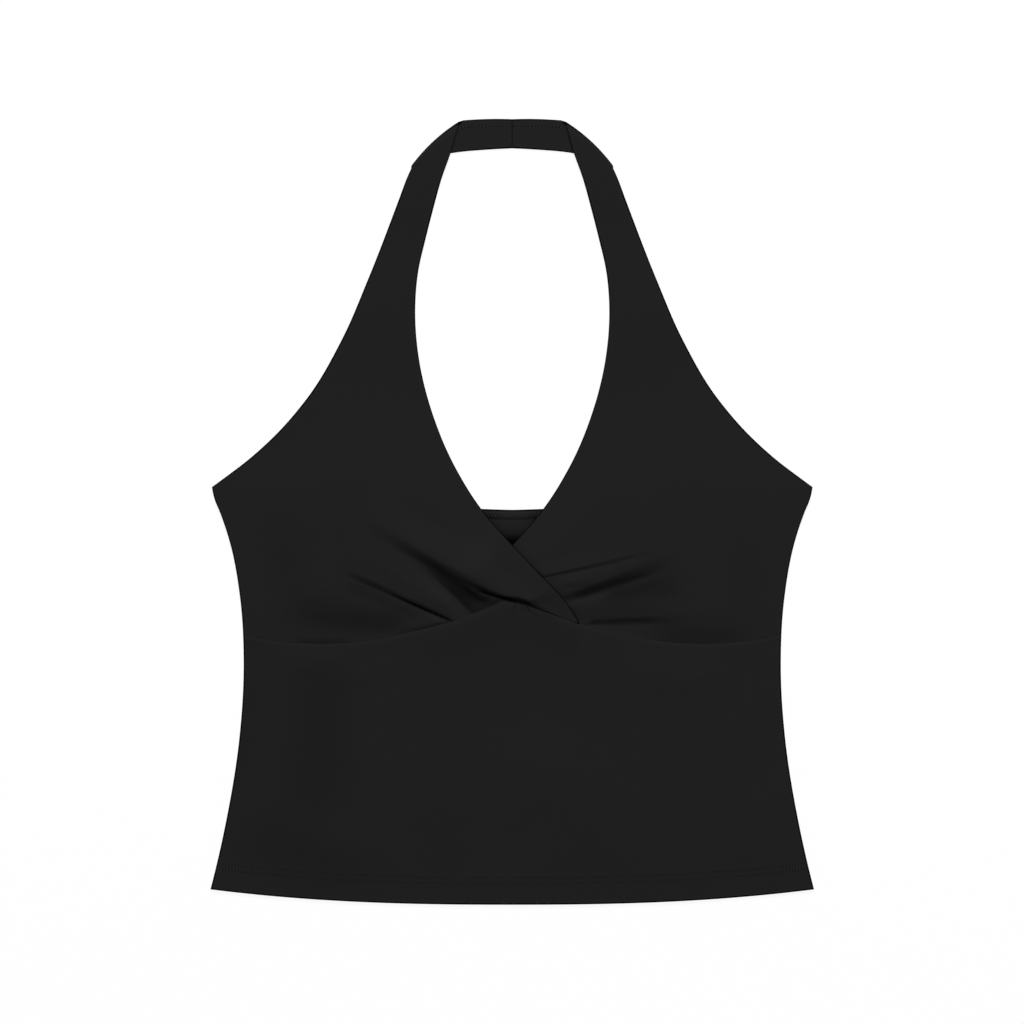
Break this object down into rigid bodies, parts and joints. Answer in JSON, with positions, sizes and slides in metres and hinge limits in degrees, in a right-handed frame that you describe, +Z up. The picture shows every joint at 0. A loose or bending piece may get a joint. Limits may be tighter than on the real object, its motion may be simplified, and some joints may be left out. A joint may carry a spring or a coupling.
{
  "type": "halter neck top",
  "caption": "Cropped halter neck top with crossed, gathered cups, lying flat with its front up.",
  "frame": {"origin": "middle of the underside's outline, on the surface that the top lies on", "axes": "+Y from the hem to the neck band, +X across the front to the viewer's right, +Z up from the surface, out of the front"},
  "size_m": [0.3922, 0.5108, 0.012],
  "materials": {
    "jersey": "matt, fine smooth knit"
  },
  "bodies": {
    "root": {"back_panel": "jersey", "front_midriff": "jersey", "cup_strap_right": "jersey", "cup_strap_left": "jersey"}
  },
  "joints": []
}
